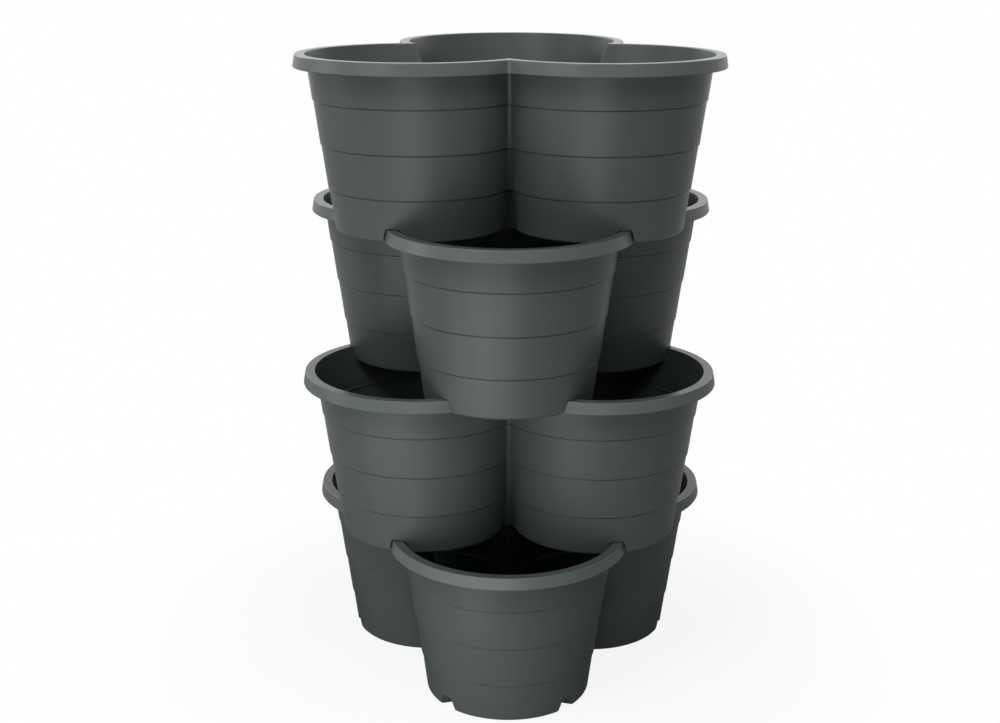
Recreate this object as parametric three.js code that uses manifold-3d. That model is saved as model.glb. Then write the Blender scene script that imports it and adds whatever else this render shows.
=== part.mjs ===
// A vertical planter tower: four identical three-lobed planters stacked on one another.
// Each planter is turned half a lobe from the one below, so every lobe that sticks out is open above.
// Millimetres, +Z up. The origin is on the ground in the middle of the bottom planter's base.

import * as THREE from "three";
import { mergeVertices } from "three/addons/utils/BufferGeometryUtils.js";
import Module from "manifold-3d";

const wasm = await Module();
wasm.setup();

// Driving sizes of the stack
const tierNames = ["bottom_planter", "second_planter", "third_planter", "top_planter"];
const tierHeight = 154.7;
const sinkDepth = 11.4;
const seatGap = 0.3;

// Driving sizes of the three-lobed outline, whose lobes are circles round their own centres.
// The centres lean towards the axis on the way down.
const lobeCount = 3;
const lobeTopOffset = 93.5;
const lobeBaseOffset = 92.6;
const cuspRadius = 3;
const cuspWebRadius = 1.5;

// Driving sizes of the tapered wall, which steps inwards at the line below each band
const wallTopRadius = 97.9;
const wallDraftDegrees = 6.95;
const bandCount = 4;
const lowestLine = 37.7;
const linePitch = 38.95;
const bandStep = 1;
const ledgeHeight = 0.6;
const wallThickness = 2.5;
const baseEdgeRadius = 4;
const floorThickness = 3;

// Driving sizes of the rim: the wall flares into a flange, whose skirt turns down round it
const collarFlare = 3.2;
const rimReach = 9.4;
const skirtFlare = 1.7;
const lipHeight = 11.1;
const lipThickness = 2.4;
const lipEdgeRadius = 1.3;

// Driving sizes of the channel under the base, which sits over the rim of the planter below
const channelClearance = 1;
const channelFlare = 1.2;
const channelWall = 2.5;

// Driving sizes of the drain holes in the floor
const drainHoleRadius = 4;
const innerDrainReach = 50;
const pairDrainReach = 72;
const pairDrainDegrees = 25;

// One overrun serves every cut
const overrun = 5;

// Direction of the lobe that faces the front
const frontAngle = -Math.PI / 2;

// Counts of flats on the curves
const arcOuterSteps = 4;
const arcCornerSteps = 5;
const cuspSteps = 2;
const drainSides = 10;
const baseEdgeSteps = 2;

// Plastic of the planters
const plasticColour = 0x4b5455;
const plasticRoughness = 0.6;
const plasticMetalness = 0;

const halfLobeAngle = Math.PI / lobeCount;
const linesAtBase = bandCount - 1;
const stackPitch = tierHeight - sinkDepth;
const channelHeight = sinkDepth + seatGap;
const flangeUnderside = tierHeight - lipThickness;
const collarStart = tierHeight - lipHeight;
const lipTopRadius = wallTopRadius + rimReach;
const lipBottomRadius = lipTopRadius + skirtFlare;

function radians(degrees) {
  return THREE.MathUtils.degToRad(degrees);
}

// Outline at a height of the planter: the radius of the lobes, how far their centres are from
// the axis, and the rounding of the corner between two lobes. Where the lobes have drawn apart
// lower down, the rounding grows to the web that joins them across the gap.
function outlineAt(z, radius) {
  const offset = THREE.MathUtils.lerp(lobeBaseOffset, lobeTopOffset, z / tierHeight);
  const halfGap = offset * Math.sin(halfLobeAngle) - radius;
  return { radius, offset, cusp: Math.max(cuspRadius, halfGap + cuspWebRadius) };
}

// The outline as a ring of points at one height.
// An inset moves the whole outline inwards by the same distance everywhere.
function lobedRing(z, outline, inset = 0, turn = 0) {
  const { radius, offset, cusp } = outline;
  const halfSpacing = offset * Math.sin(halfLobeAngle);
  const along = offset * Math.cos(halfLobeAngle);
  const cuspCentre = along + Math.sqrt((radius + cusp) ** 2 - halfSpacing ** 2);
  const endAngle = Math.atan2(
    cuspCentre * Math.sin(halfLobeAngle),
    cuspCentre * Math.cos(halfLobeAngle) - offset,
  );
  const halfArc = [];
  for (let step = 0; step <= arcOuterSteps; step += 1) {
    halfArc.push((halfLobeAngle * step) / arcOuterSteps);
  }
  for (let step = 1; step <= arcCornerSteps; step += 1) {
    halfArc.push(THREE.MathUtils.lerp(halfLobeAngle, endAngle, step / arcCornerSteps));
  }
  const arc = [];
  for (const angle of halfArc.slice(1).reverse()) {
    arc.push(-angle);
  }
  arc.push(...halfArc);

  const ring = [];
  for (let lobe = 0; lobe < lobeCount; lobe += 1) {
    const lobeAngle = turn + frontAngle + 2 * halfLobeAngle * lobe;
    const centre = new THREE.Vector2(offset, 0).rotateAround(new THREE.Vector2(), lobeAngle);
    for (const angle of arc) {
      const point = new THREE.Vector2(radius - inset, 0);
      point.rotateAround(new THREE.Vector2(), lobeAngle + angle).add(centre);
      ring.push(new THREE.Vector3(point.x, point.y, z));
    }
    const cuspAngle = lobeAngle + halfLobeAngle;
    const pivot = new THREE.Vector2(cuspCentre, 0).rotateAround(new THREE.Vector2(), cuspAngle);
    const cuspStart = lobeAngle + endAngle + Math.PI;
    const cuspSweep = 2 * (cuspAngle + Math.PI - cuspStart);
    for (let step = 1; step < cuspSteps; step += 1) {
      const point = new THREE.Vector2(cusp + inset, 0);
      point.rotateAround(new THREE.Vector2(), cuspStart + (cuspSweep * step) / cuspSteps).add(pivot);
      ring.push(new THREE.Vector3(point.x, point.y, z));
    }
  }
  return ring;
}

// Turns a closed indexed geometry into a solid that can be cut and joined.
function solidFrom(positions, triangles) {
  return new wasm.Manifold(new wasm.Mesh({
    numProp: 3,
    vertProperties: new Float32Array(positions),
    triVerts: new Uint32Array(triangles),
  }));
}

// Solid whose skin runs through a list of rings, with a flat cap on the first and the last.
function loftedSolid(rings) {
  const positions = [];
  for (const ring of rings) {
    for (const point of ring) {
      positions.push(point.x, point.y, point.z);
    }
  }
  const count = rings[0].length;
  const triangles = [];
  for (let level = 0; level + 1 < rings.length; level += 1) {
    for (let side = 0; side < count; side += 1) {
      const next = (side + 1) % count;
      const low = level * count;
      const high = low + count;
      triangles.push(low + side, low + next, high + next);
      triangles.push(low + side, high + next, high + side);
    }
  }
  const last = (rings.length - 1) * count;
  const bottomShape = rings[0].map((point) => new THREE.Vector2(point.x, point.y));
  const topShape = rings.at(-1).map((point) => new THREE.Vector2(point.x, point.y));
  for (const [a, b, c] of THREE.ShapeUtils.triangulateShape(bottomShape, [])) {
    triangles.push(a, c, b);
  }
  for (const [a, b, c] of THREE.ShapeUtils.triangulateShape(topShape, [])) {
    triangles.push(last + a, last + b, last + c);
  }
  return solidFrom(positions, triangles);
}

// Outline of the wall's outer face at a height, below a number of the steps at the lines.
// Behind the skirt the wall flares outwards up to the rim.
function wallOutline(z, linesAbove) {
  const drafted = wallTopRadius - (tierHeight - z) * Math.tan(radians(wallDraftDegrees));
  const flare = (collarFlare * Math.max(0, z - collarStart)) / lipHeight;
  return outlineAt(z, drafted + flare - bandStep * linesAbove);
}

const rimOutline = wallOutline(tierHeight, 0);

// The lines between the bands, from the lowest up, as pairs of height and outline
function bandLines() {
  const lines = [];
  for (let line = 1; line < bandCount; line += 1) {
    const z = lowestLine + linePitch * (line - 1);
    lines.push([z - ledgeHeight, wallOutline(z - ledgeHeight, bandCount - line)]);
    lines.push([z, wallOutline(z, bandCount - line - 1)]);
  }
  return lines;
}

// The whole planter from outside, still filled in: base edge, bands, rim underside, skirt and top
function outerBody() {
  const rings = [];
  const edgeOutline = wallOutline(baseEdgeRadius, linesAtBase);
  for (let step = 0; step <= baseEdgeSteps; step += 1) {
    const swing = ((Math.PI / 2) * step) / baseEdgeSteps;
    const z = baseEdgeRadius * (1 - Math.cos(swing));
    rings.push(lobedRing(z, edgeOutline, baseEdgeRadius * (1 - Math.sin(swing))));
  }
  for (const [z, outline] of bandLines()) {
    rings.push(lobedRing(z, outline));
  }
  const lipTop = outlineAt(tierHeight, lipTopRadius);
  const lipFoot = outlineAt(tierHeight, lipBottomRadius);
  rings.push(lobedRing(collarStart, wallOutline(collarStart, 0)));
  rings.push(lobedRing(flangeUnderside, wallOutline(flangeUnderside, 0)));
  rings.push(lobedRing(flangeUnderside, lipTop, lipThickness));
  rings.push(lobedRing(tierHeight - lipHeight, lipFoot, lipThickness));
  rings.push(lobedRing(tierHeight - lipHeight, lipFoot));
  rings.push(lobedRing(tierHeight - lipEdgeRadius, lipTop));
  rings.push(lobedRing(tierHeight, lipTop, lipEdgeRadius));
  return loftedSolid(rings);
}

// The hollow for the soil. The wall keeps its thickness, so the steps show on the inside too.
function soilSpace() {
  const rings = [];
  rings.push(lobedRing(floorThickness, wallOutline(floorThickness, linesAtBase), wallThickness));
  for (const [z, outline] of bandLines()) {
    rings.push(lobedRing(z, outline, wallThickness));
  }
  rings.push(lobedRing(collarStart, wallOutline(collarStart, 0), wallThickness));
  rings.push(lobedRing(tierHeight, rimOutline, wallThickness));
  rings.push(lobedRing(tierHeight + overrun, rimOutline, wallThickness));
  return loftedSolid(rings);
}

// Ring-shaped slug that follows the rim of the planter below, which is turned half a lobe.
// A margin makes it thicker on both sides and on top.
function rimBelow(margin) {
  const spread = channelClearance + margin;
  const top = channelHeight + margin;
  const mouth = outlineAt(tierHeight, lipBottomRadius + channelFlare + spread);
  const roof = outlineAt(tierHeight, lipTopRadius + spread);
  const wallAtSeat = wallOutline(stackPitch, 0);
  const outside = loftedSolid([
    lobedRing(-overrun, mouth, 0, halfLobeAngle),
    lobedRing(0, mouth, 0, halfLobeAngle),
    lobedRing(top, roof, 0, halfLobeAngle),
  ]);
  const inside = loftedSolid([
    lobedRing(-overrun - overrun, wallAtSeat, wallThickness + spread, halfLobeAngle),
    lobedRing(0, wallAtSeat, wallThickness + spread, halfLobeAngle),
    lobedRing(top, rimOutline, wallThickness + spread, halfLobeAngle),
    lobedRing(top + overrun, rimOutline, wallThickness + spread, halfLobeAngle),
  ]);
  return outside.subtract(inside);
}

function drainHole(reach, angle) {
  const length = floorThickness + 2 * overrun;
  const cylinder = new THREE.CylinderGeometry(drainHoleRadius, drainHoleRadius, length, drainSides);
  cylinder.rotateX(Math.PI / 2);
  cylinder.translate(reach * Math.cos(angle), reach * Math.sin(angle), floorThickness / 2);
  cylinder.deleteAttribute("normal");
  cylinder.deleteAttribute("uv");
  const closed = mergeVertices(cylinder);
  return solidFrom(closed.getAttribute("position").array, closed.getIndex().array);
}

// One planter: the outer body less the soil space, with the channel and its own walls in the base
function planterSolid() {
  const channel = rimBelow(0);
  const channelShell = rimBelow(channelWall);
  const hollow = soilSpace().subtract(channelShell);
  let planter = outerBody().subtract(hollow).subtract(channel);
  for (let lobe = 0; lobe < lobeCount; lobe += 1) {
    const lobeAngle = frontAngle + 2 * halfLobeAngle * lobe;
    planter = planter.subtract(drainHole(innerDrainReach, lobeAngle));
    for (const side of [-1, 1]) {
      planter = planter.subtract(drainHole(pairDrainReach, lobeAngle + side * radians(pairDrainDegrees)));
    }
  }
  return planter;
}

function geometryOf(solid) {
  const mesh = solid.getMesh();
  const geometry = new THREE.BufferGeometry();
  geometry.setAttribute("position", new THREE.BufferAttribute(new Float32Array(mesh.vertProperties), 3));
  geometry.setIndex(new THREE.BufferAttribute(new Uint32Array(mesh.triVerts), 1));
  geometry.computeVertexNormals();
  return geometry;
}

const planterGeometry = geometryOf(planterSolid());
const tower = new THREE.Group();
tierNames.forEach((name, tier) => {
  const plastic = new THREE.MeshStandardMaterial({
    color: plasticColour,
    roughness: plasticRoughness,
    metalness: plasticMetalness,
  });
  const planter = new THREE.Mesh(planterGeometry, plastic);
  planter.name = name;
  planter.position.z = stackPitch * tier;
  planter.rotation.z = halfLobeAngle * (tier % 2);
  tower.add(planter);
});

export default tower;
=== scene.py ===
import math

import bpy
import numpy as np
from mathutils import Matrix, Vector


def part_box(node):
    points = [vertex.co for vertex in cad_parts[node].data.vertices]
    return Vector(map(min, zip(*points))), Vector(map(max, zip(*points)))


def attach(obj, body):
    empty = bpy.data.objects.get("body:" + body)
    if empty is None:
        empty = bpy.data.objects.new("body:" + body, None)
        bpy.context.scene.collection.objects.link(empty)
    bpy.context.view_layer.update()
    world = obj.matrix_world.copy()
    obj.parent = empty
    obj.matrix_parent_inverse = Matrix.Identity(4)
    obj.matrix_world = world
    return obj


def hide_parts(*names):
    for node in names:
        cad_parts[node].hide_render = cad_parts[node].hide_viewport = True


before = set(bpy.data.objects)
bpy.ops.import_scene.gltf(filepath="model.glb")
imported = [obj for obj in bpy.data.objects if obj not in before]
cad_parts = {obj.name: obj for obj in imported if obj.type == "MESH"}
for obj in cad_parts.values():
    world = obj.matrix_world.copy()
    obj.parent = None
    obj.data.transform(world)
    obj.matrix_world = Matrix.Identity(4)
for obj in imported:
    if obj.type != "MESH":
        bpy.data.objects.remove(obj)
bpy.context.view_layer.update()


# Camera: it stands in front of the tower, a little above the top rim, and looks down at it.
# Its place, its tilt and its focal length follow the rims and lines of the photograph.
camera_place = Vector((0.0136, -1.38325, 0.69661))
camera_pitch = math.radians(16.399)
camera_yaw = math.radians(-0.943)
camera_roll = math.radians(0.073)
photo_width_px = 1000
focal_length_px = 1504.3
sensor_width_mm = 36

camera_data = bpy.data.cameras.new("camera")
camera_data.sensor_fit = "HORIZONTAL"
camera_data.sensor_width = sensor_width_mm
camera_data.lens = sensor_width_mm * focal_length_px / photo_width_px
camera = bpy.data.objects.new("camera", camera_data)
bpy.context.scene.collection.objects.link(camera)
heading = Matrix.Rotation(-camera_yaw, 4, "Z")
tilt = Matrix.Rotation(math.pi / 2 - camera_pitch, 4, "X")
roll = Matrix.Rotation(camera_roll, 4, "Z")
camera.matrix_world = Matrix.Translation(camera_place) @ (heading @ tilt) @ roll
bpy.context.scene.camera = camera


# Planters: four pots injection-moulded in one mould, in slate grey polypropylene, each with three
# lobes, a stepped wall and a rim whose skirt turns down. Each is turned half a lobe from the one
# below, and the channel under its base drops over that rim. Nothing else holds the stack together.
bottom_low, bottom_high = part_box("bottom_planter")
second_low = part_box("second_planter")[0]
tier_height = bottom_high[2] - bottom_low[2]
stack_pitch = second_low[2] - bottom_low[2]
sink_depth = tier_height - stack_pitch

# The outline: three arcs, with the corner between two lobes rounded.
lobe_count = 3
half_lobe_angle = math.pi / lobe_count
lobe_top_offset = 0.0935
lobe_base_offset = 0.0926
cusp_radius = 0.003
cusp_web_radius = 0.0015
inner_cusp_radius = 0.0012
arc_steps = 64
cusp_steps = 8


def outline_at(z, radius, least_cusp=cusp_radius):
    """Radius of the lobes, reach of their centres and rounding of the corner between two lobes."""
    offset = lobe_base_offset + (lobe_top_offset - lobe_base_offset) * z / tier_height
    half_gap = offset * math.sin(half_lobe_angle) - radius
    return radius, offset, max(least_cusp, half_gap + cusp_web_radius)


def lobed_ring(z, outline, inset=0.0, turn=0.0):
    """Points round the three lobes at one height, moved inwards by the inset."""
    radius, offset, cusp = outline
    half_spacing = offset * math.sin(half_lobe_angle)
    centre_distance = math.sqrt((radius + cusp) ** 2 - half_spacing**2)
    cusp_centre = offset * math.cos(half_lobe_angle) + centre_distance
    end_angle = math.atan2(
        cusp_centre * math.sin(half_lobe_angle), cusp_centre * math.cos(half_lobe_angle) - offset
    )
    ring = []
    for lobe in range(lobe_count):
        lobe_angle = turn - math.pi / 2 + 2 * half_lobe_angle * lobe
        for angle in np.linspace(lobe_angle - end_angle, lobe_angle + end_angle, arc_steps + 1):
            ring.append((
                offset * math.cos(lobe_angle) + (radius - inset) * math.cos(angle),
                offset * math.sin(lobe_angle) + (radius - inset) * math.sin(angle),
                z,
            ))
        cusp_angle = lobe_angle + half_lobe_angle
        start = lobe_angle + end_angle + math.pi
        sweep = 2 * (half_lobe_angle - end_angle)
        for angle in np.linspace(start, start + sweep, cusp_steps + 1)[1:-1]:
            ring.append((
                cusp_centre * math.cos(cusp_angle) + (cusp + inset) * math.cos(angle),
                cusp_centre * math.sin(cusp_angle) + (cusp + inset) * math.sin(angle),
                z,
            ))
    return ring


# The wall: it leans in towards the base and steps in at each line between two bands.
wall_top_radius = 0.0979
wall_draft = math.radians(6.95)
wall_thickness = 0.0025
band_count = 4
band_step = 0.001
lowest_line = 0.0377
line_pitch = 0.03895
groove_depth = 0.0004
groove_height = 0.0006
nose_radius = 0.0003
nose_steps = 4

# The rim: a flat flange with a skirt turned down, over a collar that flares out.
rim_reach = 0.0094
skirt_flare = 0.0017
lip_height = 0.0111
lip_thickness = 0.0024
lip_edge_radius = 0.0009
under_rim_fillet = 0.0012
skirt_foot_radius = 0.0009
skirt_foot_steps = 8
collar_flare = 0.0032
collar_bend = 0.0015
mouth_edge_radius = 0.0006
mouth_slope = 0.032
collar_start = tier_height - lip_height
lip_top_radius = wall_top_radius + rim_reach
lip_bottom_radius = lip_top_radius + skirt_flare

# The base: a rounded edge outside and a fillet between wall and floor inside.
base_edge_radius = 0.0025
floor_thickness = 0.003
floor_fillet = 0.003

# Steps of a quarter turn, on edges that show well, in plain corners and under the rim.
edge_steps = 6
corner_steps = 4
under_rim_steps = 3

# Flat faces keep a ring this close to both of their ends.
hold_distance = 0.0003


def wall_radius(z, lines_above):
    """Radius of a lobe's outer face at a height, below a number of the lines."""
    flare = collar_flare * max(0.0, z - collar_start) / lip_height
    drafted = wall_top_radius - (tier_height - z) * math.tan(wall_draft)
    return drafted + flare - band_step * lines_above


def wall_outline(z, lines_above):
    return outline_at(z, wall_radius(z, lines_above))


def stepped_wall():
    """Heights and outlines of the wall from the base edge to the rim, with each line between bands
    as a small rounded step over a shallow groove."""
    profile = []
    for line in range(1, band_count):
        z = lowest_line + line_pitch * (line - 1)
        below = wall_radius(z, band_count - line)
        above = wall_radius(z, band_count - line - 1)
        profile.append((z - 2 * groove_height, below))
        profile.append((z - groove_height, below - groove_depth))
        profile.append((z, below - groove_depth))
        for step in range(nose_steps + 1):
            swing = math.pi / 2 * step / nose_steps
            radius = above - nose_radius * (1 - math.sin(swing))
            profile.append((z + nose_radius * (1 - math.cos(swing)), radius))
    return [(z, outline_at(z, radius)) for z, radius in profile]


def inner_ring(z, outline, depth):
    """Ring on the inside of the wall, where the corner between two lobes is a crisp ridge."""
    return lobed_ring(z, outline_at(z, outline[0] - depth, inner_cusp_radius))


def quarter_turn(steps):
    """Sine and cosine along a quarter turn."""
    swings = [math.pi / 2 * step / steps for step in range(steps + 1)]
    return [(math.sin(swing), math.cos(swing)) for swing in swings]


def hold_flats(rings):
    """Adds a ring close to both ends of every long step, so that flat faces are shaded flat."""
    held = [rings[0]]
    for low, high in zip(rings, rings[1:]):
        length = math.dist(low[0], high[0])
        if length > 4 * hold_distance:
            share = hold_distance / length
            for part in (share, 1 - share):
                held.append([
                    tuple(a + (b - a) * part for a, b in zip(low_point, high_point))
                    for low_point, high_point in zip(low, high)
                ])
        held.append(high)
    return held


def loft(name, rings):
    """Closed mesh object through a list of rings, with a flat cap at both ends."""
    count = len(rings[0])
    points = [point for ring in rings for point in ring]
    faces = [tuple(reversed(range(count)))]
    for level in range(len(rings) - 1):
        low = level * count
        high = low + count
        for side in range(count):
            next_side = (side + 1) % count
            faces.append((low + side, low + next_side, high + next_side, high + side))
    last = (len(rings) - 1) * count
    faces.append(tuple(range(last, last + count)))
    mesh = bpy.data.meshes.new(name)
    mesh.from_pydata(points, [], faces)
    solid = bpy.data.objects.new(name, mesh)
    bpy.context.scene.collection.objects.link(solid)
    return solid


def planter_shell():
    """The moulding as one closed skin: base, outer wall, skirt, rim top, inner wall and floor."""
    lines_at_base = band_count - 1
    underside = tier_height - lip_thickness
    lip_top = outline_at(tier_height, lip_top_radius)
    skirt_foot = outline_at(tier_height, lip_bottom_radius)
    base_edge = wall_outline(base_edge_radius, lines_at_base)
    rings = []
    # Base edge and stepped wall
    for sine, cosine in quarter_turn(edge_steps):
        z = base_edge_radius * (1 - cosine)
        rings.append(lobed_ring(z, base_edge, base_edge_radius * (1 - sine)))
    for z, outline in stepped_wall():
        rings.append(lobed_ring(z, outline))
    # Collar, and the fillets under the rim and behind the skirt
    for z in (collar_start - collar_bend, collar_start + collar_bend):
        rings.append(lobed_ring(z, wall_outline(z, 0)))
    for sine, cosine in quarter_turn(corner_steps):
        z = underside - under_rim_fillet * (1 - sine)
        radius = wall_radius(z, 0) + under_rim_fillet * (1 - cosine)
        rings.append(lobed_ring(z, outline_at(z, radius)))
    for sine, cosine in quarter_turn(under_rim_steps):
        z = underside - under_rim_fillet * (1 - cosine)
        rings.append(lobed_ring(z, lip_top, lip_thickness + under_rim_fillet * (1 - sine)))
    # Foot of the skirt, rounded on both sides of a narrow flat
    foot_flat = lip_thickness / 2 - skirt_foot_radius
    for step in range(skirt_foot_steps + 1):
        swing = math.pi * step / skirt_foot_steps
        side = np.sign(2 * step - skirt_foot_steps)
        inset = lip_thickness / 2 + skirt_foot_radius * math.cos(swing) - side * foot_flat
        z = collar_start + skirt_foot_radius * (1 - math.sin(swing))
        rings.append(lobed_ring(z, skirt_foot, inset))
    # Outer edge of the rim, edge of the mouth and the slope inside it
    for sine, cosine in quarter_turn(edge_steps):
        z = tier_height - lip_edge_radius * (1 - sine)
        rings.append(lobed_ring(z, lip_top, lip_edge_radius * (1 - cosine)))
    for sine, cosine in quarter_turn(corner_steps):
        z = tier_height - mouth_edge_radius * (1 - cosine)
        depth = wall_thickness - mouth_edge_radius * (1 - sine)
        rings.append(inner_ring(z, wall_outline(z, 0), depth))
    slope_foot = tier_height - mouth_slope
    rings.append(inner_ring(slope_foot, wall_outline(slope_foot, 0), wall_thickness))
    # Inner wall and fillet down to the floor
    for z, outline in reversed(stepped_wall()):
        rings.append(inner_ring(z, outline, wall_thickness))
    for sine, cosine in quarter_turn(corner_steps):
        z = floor_thickness + floor_fillet * (1 - sine)
        depth = wall_thickness + floor_fillet * (1 - cosine)
        rings.append(inner_ring(z, wall_outline(z, lines_at_base), depth))
    return loft("planter", hold_flats(rings))


# The channel under the base has walls of its own, which show as a ridge on the floor.
channel_clearance = 0.001
channel_flare = 0.0012
channel_wall = 0.0025
seat_gap = 0.0007
overrun = 0.005

# One drain hole near the middle of each lobe, and a pair further out.
drain_radius = 0.004
drain_sides = 24
inner_drain_reach = 0.050
pair_drain_reach = 0.072
pair_drain_angle = math.radians(25)


def combine(solid, tool, operation):
    """Joins, cuts or crosses a solid with a tool, and takes the tool away."""
    boolean = solid.modifiers.new("boolean", "BOOLEAN")
    boolean.operation = operation
    boolean.solver = "EXACT"
    boolean.object = tool
    evaluated = solid.evaluated_get(bpy.context.evaluated_depsgraph_get())
    result = bpy.data.meshes.new_from_object(evaluated)
    solid.modifiers.remove(boolean)
    solid.data = result
    bpy.data.objects.remove(tool)
    return solid


def rim_below(margin):
    """Ring that follows the rim of the planter below, thicker by a margin beside it and on top."""
    spread = channel_clearance + margin
    top = sink_depth + seat_gap + margin
    mouth = outline_at(tier_height, lip_bottom_radius + channel_flare + spread)
    roof = outline_at(tier_height, lip_top_radius + spread)
    at_seat = wall_outline(stack_pitch, 0)
    at_rim = wall_outline(tier_height, 0)
    outside = loft("outside", [
        lobed_ring(-overrun, mouth, 0.0, half_lobe_angle),
        lobed_ring(0.0, mouth, 0.0, half_lobe_angle),
        lobed_ring(top, roof, 0.0, half_lobe_angle),
    ])
    inside = loft("inside", [
        lobed_ring(-2 * overrun, at_seat, wall_thickness + spread, half_lobe_angle),
        lobed_ring(0.0, at_seat, wall_thickness + spread, half_lobe_angle),
        lobed_ring(top, at_rim, wall_thickness + spread, half_lobe_angle),
        lobed_ring(top + overrun, at_rim, wall_thickness + spread, half_lobe_angle),
    ])
    return combine(outside, inside, "DIFFERENCE")


def inner_core():
    """Space from the middle of the floor up, out to the middle of the wall."""
    rings = []
    for z in (floor_thickness / 2, lowest_line - wall_thickness):
        rings.append(lobed_ring(z, wall_outline(z, band_count - 1), wall_thickness / 2))
    return loft("core", rings)


def drain(reach, angle):
    """Peg that goes through the floor where a drain hole is."""
    bpy.ops.mesh.primitive_cylinder_add(
        vertices=drain_sides, radius=drain_radius, depth=floor_thickness + 2 * overrun,
        location=(reach * math.cos(angle), reach * math.sin(angle), floor_thickness / 2),
    )
    return bpy.context.object


def planter_moulding():
    """Shell, ridge over the channel, channel and drain holes, as one mesh."""
    planter = planter_shell()
    ridge = combine(rim_below(channel_wall), inner_core(), "INTERSECT")
    combine(planter, ridge, "UNION")
    combine(planter, rim_below(0.0), "DIFFERENCE")
    for lobe in range(lobe_count):
        lobe_angle = -math.pi / 2 + 2 * half_lobe_angle * lobe
        combine(planter, drain(inner_drain_reach, lobe_angle), "DIFFERENCE")
        for side in (-1, 1):
            pair_angle = lobe_angle + side * pair_drain_angle
            combine(planter, drain(pair_drain_reach, pair_angle), "DIFFERENCE")
    mesh = planter.data
    bpy.data.objects.remove(planter)
    return mesh


class Shader:
    """The node tree of a material or of the world, from empty."""

    def __init__(self, owner):
        owner.use_nodes = True
        self.tree = owner.node_tree
        self.tree.nodes.clear()

    def node(self, kind, settings=None, output=0, **inputs):
        """Adds a node, sets its settings, then fills its sockets, given by name or as iN by number,
        and hands back one output."""
        node = self.tree.nodes.new(kind)
        for name, value in (settings or {}).items():
            setattr(node, name, value)
        for name, value in inputs.items():
            by_number = name[0] == "i" and name[1:].isdigit()
            socket = node.inputs[int(name[1:]) if by_number else name.replace("_", " ")]
            if isinstance(value, Wire):
                self.tree.links.new(value.socket, socket)
            else:
                socket.default_value = value
        return Wire(self, node.outputs[output]) if node.outputs else None


class Wire:
    """A shader socket on which Python's operators add Math nodes."""

    def __init__(self, shader, socket):
        self.shader = shader
        self.socket = socket

    def math(self, operation, first, second):
        return self.shader.node("ShaderNodeMath", {"operation": operation}, i0=first, i1=second)

    def __add__(self, other):
        return self.math("ADD", self, other)

    __radd__ = __add__

    def __sub__(self, other):
        return self.math("SUBTRACT", self, other)

    def __rsub__(self, other):
        return self.math("SUBTRACT", other, self)

    def __mul__(self, other):
        return self.math("MULTIPLY", self, other)

    __rmul__ = __mul__


# The plastic: satin and of one colour right through, with the fine spark-eroded grain of the mould
# and faint flow marks up the wall. The outer face of the skirt is painted a little paler, which is
# painted light for the extra light it catches from above. Handling has polished the top of the rim.
plastic_colour = (0.065, 0.078, 0.075, 1.0)
plastic_dark = (0.059, 0.072, 0.069, 1.0)
painted_skirt_light_colour = (0.078, 0.094, 0.090, 1.0)
plastic_roughness = 0.35
plastic_specular = 0.3
plastic_ior = 1.49
rim_polish = 0.15
grain_roughness = 0.10
flow_roughness = 0.06
tone_share = 0.7
flow_share = 0.3
flow_stretch = 0.12
flow_seed_shift = 5.0
grain_height = 0.00004
grain_strength = 0.35
flow_bump_share = 0.4
noise_middle = 0.5

# A face counts as the outer side where it lies this far out along its own normal; the painted light
# on the skirt goes only there.
outer_side_reach = 0.05


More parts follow.
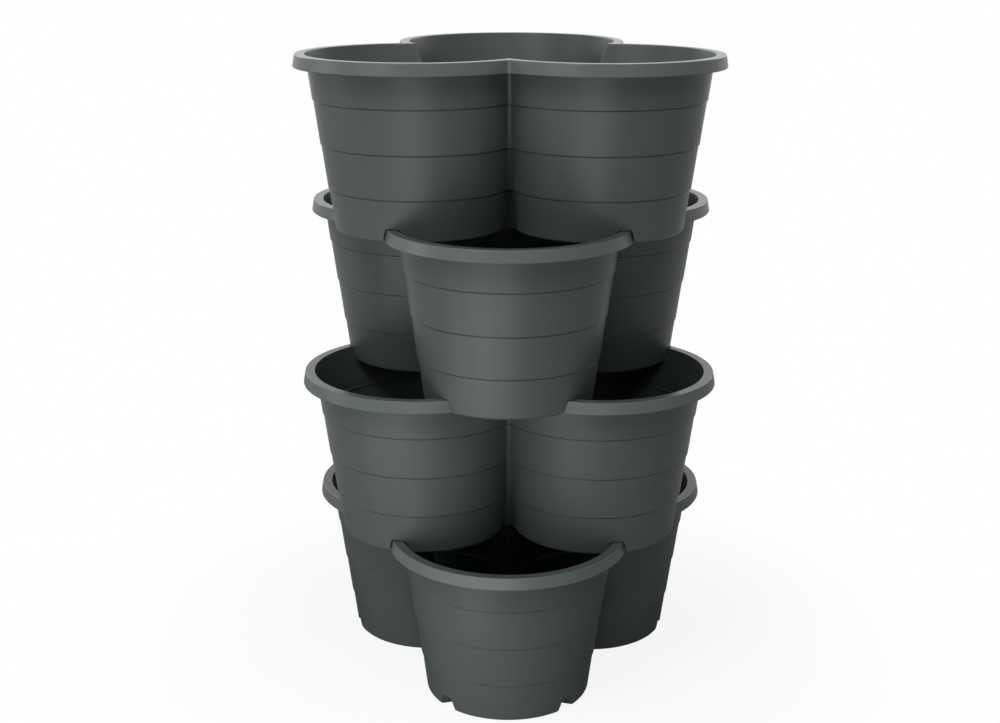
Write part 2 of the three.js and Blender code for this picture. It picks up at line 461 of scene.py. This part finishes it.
def planter_plastic(name, seed, base_z):
    material = bpy.data.materials.new(name)
    plastic = Shader(material)
    place = plastic.node("ShaderNodeTexCoord", output="Object")
    tone = plastic.node(
        "ShaderNodeTexNoise", {"noise_dimensions": "4D"},
        Vector=place, W=seed, Scale=9.0, Detail=3.0, Roughness=0.5,
    )
    stretched = plastic.node(
        "ShaderNodeVectorMath", {"operation": "MULTIPLY"}, i0=place, i1=(1.0, 1.0, flow_stretch)
    )
    flow = plastic.node(
        "ShaderNodeTexNoise", {"noise_dimensions": "4D"},
        Vector=stretched, W=seed + flow_seed_shift, Scale=70.0, Detail=2.0, Roughness=0.5,
    )
    grain = plastic.node(
        "ShaderNodeTexNoise", {"noise_dimensions": "3D"},
        Vector=place, Scale=1400.0, Detail=2.0, Roughness=0.6,
    )

    height = plastic.node("ShaderNodeSeparateXYZ", output="Z", Vector=place)
    rim_top = base_z + tier_height
    skirt_foot = rim_top - lip_height
    polish = plastic.node(
        "ShaderNodeMapRange", {"interpolation_type": "SMOOTHSTEP"},
        Value=height, From_Min=rim_top - lip_edge_radius, From_Max=rim_top,
    )
    level_place = plastic.node(
        "ShaderNodeVectorMath", {"operation": "MULTIPLY"}, i0=place, i1=(1.0, 1.0, 0.0)
    )
    facing = plastic.node("ShaderNodeNewGeometry", output="Normal")
    outward = plastic.node(
        "ShaderNodeVectorMath", {"operation": "DOT_PRODUCT"}, output="Value",
        i0=level_place, i1=facing,
    )
    outer_side = plastic.node(
        "ShaderNodeMapRange", Value=outward, From_Min=0.0, From_Max=outer_side_reach
    )
    skirt = plastic.node(
        "ShaderNodeMapRange", {"interpolation_type": "SMOOTHSTEP"},
        Value=height, From_Min=skirt_foot, From_Max=skirt_foot + skirt_foot_radius,
    )

    # A colour Mix takes its colours on inputs 6 and 7 and gives its result on output 2.
    colour = plastic.node(
        "ShaderNodeMix", {"data_type": "RGBA"}, output=2,
        i0=tone * tone_share + flow * flow_share, i6=plastic_dark, i7=plastic_colour,
    )
    # Painted light: the outer face of the skirt is painted paler, as if lit more from above.
    colour_with_painted_skirt_light = plastic.node(
        "ShaderNodeMix", {"data_type": "RGBA"}, output=2,
        i0=outer_side * skirt, i6=colour, i7=painted_skirt_light_colour,
    )
    grain_swing = (grain - noise_middle) * grain_roughness
    flow_swing = (flow - noise_middle) * flow_roughness
    roughness = plastic_roughness + grain_swing + flow_swing - polish * rim_polish
    bump = plastic.node(
        "ShaderNodeBump",
        Strength=grain_strength, Distance=grain_height, Height=grain + flow * flow_bump_share,
    )
    surface = plastic.node(
        "ShaderNodeBsdfPrincipled", Base_Color=colour_with_painted_skirt_light, Roughness=roughness, Normal=bump,
        IOR=plastic_ior, Specular_IOR_Level=plastic_specular,
    )
    plastic.node("ShaderNodeOutputMaterial", Surface=surface)
    return material


# The stack, from the bottom planter up.
edge_angle = math.radians(32)
seed_step = 3.0
moulding = planter_moulding()
for tier, (node, body) in enumerate((
    ("bottom_planter", "bottom"),
    ("second_planter", "second"),
    ("third_planter", "third"),
    ("top_planter", "top"),
)):
    base_z = stack_pitch * tier
    turn = half_lobe_angle * (tier % 2)
    mesh = moulding.copy()
    mesh.transform(Matrix.Translation((0.0, 0.0, base_z)) @ Matrix.Rotation(turn, 4, "Z"))
    mesh.name = node + "_moulding"
    mesh.shade_smooth()
    mesh.set_sharp_from_angle(angle=edge_angle)
    mesh.materials.clear()
    mesh.materials.append(planter_plastic(node + "_plastic", seed_step * tier, base_z))
    planter = bpy.data.objects.new(node + "_moulding", mesh)
    bpy.context.scene.collection.objects.link(planter)
    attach(planter, body)
    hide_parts(node)


# Studio: a white paper sweep under and behind the tower, a large softbox high at the front left, a
# weaker one at the right, others at the left and behind, and low cards in front, half below the
# floor, that brighten the foot of each wall.
white = (1.0, 1.0, 1.0, 1.0)


def ray_kinds(shader):
    """One where the camera sees a surface directly, where it is mirrored and where it shines
    through."""
    names = ("Is Camera Ray", "Is Glossy Ray", "Is Transmission Ray")
    return [shader.node("ShaderNodeLightPath", output=name) for name in names]


# The surroundings light the tower faintly and are seen as plain white.
surround_strength = 0.02
world = bpy.data.worlds.new("studio")
bpy.context.scene.world = world
sky = Shader(world)
surround = sky.node("ShaderNodeBackground", Color=white, Strength=surround_strength)
backdrop = sky.node("ShaderNodeBackground", Color=white, Strength=1.0)
direct, mirrored, through = ray_kinds(sky)
sky_surface = sky.node(
    "ShaderNodeMixShader", i0=direct + mirrored + through, i1=surround, i2=backdrop
)
sky.node("ShaderNodeOutputWorld", Surface=sky_surface)

# The paper is plain white to the camera, apart from a faint shadow close to the tower. To the
# plastic's reflections it glows instead with a painted pool of light at the front left, which fades
# outwards, and with painted shade towards the tower's foot.
floor_half = 3.0
paper_colour = (0.85, 0.85, 0.85, 1.0)
painted_shade_colour = (0.05, 0.05, 0.05, 1.0)
shadow_core = 0.15
shadow_end = 0.5
white_share_in_core = 0.88
pool_middle = (-0.33, -1.19, 0.0)
pool_core = 0.47
pool_end = 0.68
mirrored_share_outside = 0.4
foot_shade_end = 0.75

bpy.ops.mesh.primitive_plane_add(size=2 * floor_half, location=(0.0, 0.0, 0.0))
floor = bpy.context.object
floor.name = "studio_floor"
paper_material = bpy.data.materials.new("studio_paper")
paper = Shader(paper_material)
matte = paper.node("ShaderNodeBsdfDiffuse", Color=paper_colour)
glow = paper.node("ShaderNodeEmission", Color=white, Strength=1.0)
painted_shade = paper.node("ShaderNodeEmission", Color=painted_shade_colour, Strength=1.0)
floor_place = paper.node("ShaderNodeTexCoord", output="Object")
reach = paper.node(
    "ShaderNodeVectorMath", {"operation": "LENGTH"}, output="Value", i0=floor_place
)
white_share = paper.node(
    "ShaderNodeMapRange", {"interpolation_type": "SMOOTHSTEP"},
    Value=reach, From_Min=shadow_core, From_Max=shadow_end, To_Min=white_share_in_core,
)
pool_reach = paper.node(
    "ShaderNodeVectorMath", {"operation": "DISTANCE"}, output="Value",
    i0=floor_place, i1=pool_middle,
)
painted_pool = paper.node(
    "ShaderNodeMapRange", {"interpolation_type": "SMOOTHSTEP"},
    Value=pool_reach, From_Min=pool_core, From_Max=pool_end,
    To_Min=1.0, To_Max=mirrored_share_outside,
)
clear_of_painted_foot_shade = paper.node(
    "ShaderNodeMapRange", {"interpolation_type": "SMOOTHSTEP"},
    Value=reach, From_Min=shadow_core, From_Max=foot_shade_end,
)
direct, mirrored, through = ray_kinds(paper)
plain_paper = paper.node(
    "ShaderNodeMixShader", i0=(direct + through) * white_share, i1=matte, i2=glow
)
# Painted light: reflections see a glowing painted pool of light and painted shade near the foot,
# not lit paper.
mirrored_paper = paper.node("ShaderNodeMixShader", i0=painted_pool * clear_of_painted_foot_shade, i1=painted_shade, i2=glow)
paper_surface = paper.node(
    "ShaderNodeMixShader", i0=mirrored, i1=plain_paper, i2=mirrored_paper
)
paper.node("ShaderNodeOutputMaterial", Surface=paper_surface)
floor.data.materials.append(paper_material)

# Where the lamps aim
tower_middle = (0.0, 0.0, 0.32)
lower_middle = (0.0, 0.0, 0.3)
foot_middle = (0.0, 0.0, 0.25)
front_middle = (0.0, -0.1, 0.25)
front_foot = (-0.02, -0.18, 0.07)


def softbox(name, place, target, side, power):
    """Square lamp turned to a target, which lights the tower and isn't seen itself."""
    data = bpy.data.lights.new(name, "AREA")
    data.shape = "SQUARE"
    data.size = side
    data.energy = power
    light = bpy.data.objects.new(name, data)
    light.location = place
    light.rotation_euler = (Vector(target) - Vector(place)).to_track_quat("-Z", "Y").to_euler()
    light.visible_camera = False
    bpy.context.scene.collection.objects.link(light)


softbox("key_softbox", (-0.6772, -1.1730, 2.0536), tower_middle, side=0.8, power=21.3)
softbox("right_softbox", (0.5074, -1.2558, 2.0536), tower_middle, side=0.8, power=12.2)
softbox("side_softbox", (-2.1703, -0.1899, 0.6262), tower_middle, side=0.8, power=6.3)
softbox("near_softbox", (-0.5718, -0.8166, 0.7849), tower_middle, side=0.5, power=1.2)
softbox("front_card", (-0.1, -1.2, 0.03), front_middle, side=0.7, power=2.5)
softbox("left_card", (-0.3214, -0.3830, 0.02), lower_middle, side=0.4, power=0.7)
softbox("back_left_softbox", (-1.2, 1.6, 1.3), tower_middle, side=0.8, power=5.0)
softbox("back_right_softbox", (1.2, 1.6, 1.3), tower_middle, side=0.8, power=5.0)
softbox("foot_card", (-0.12, -0.52, 0.02), foot_middle, side=0.4, power=0.7)
softbox("toe_card", (-0.095, -0.29, 0.01), front_foot, side=0.14, power=0.07)

bpy.context.scene.view_settings.view_transform = "Standard"
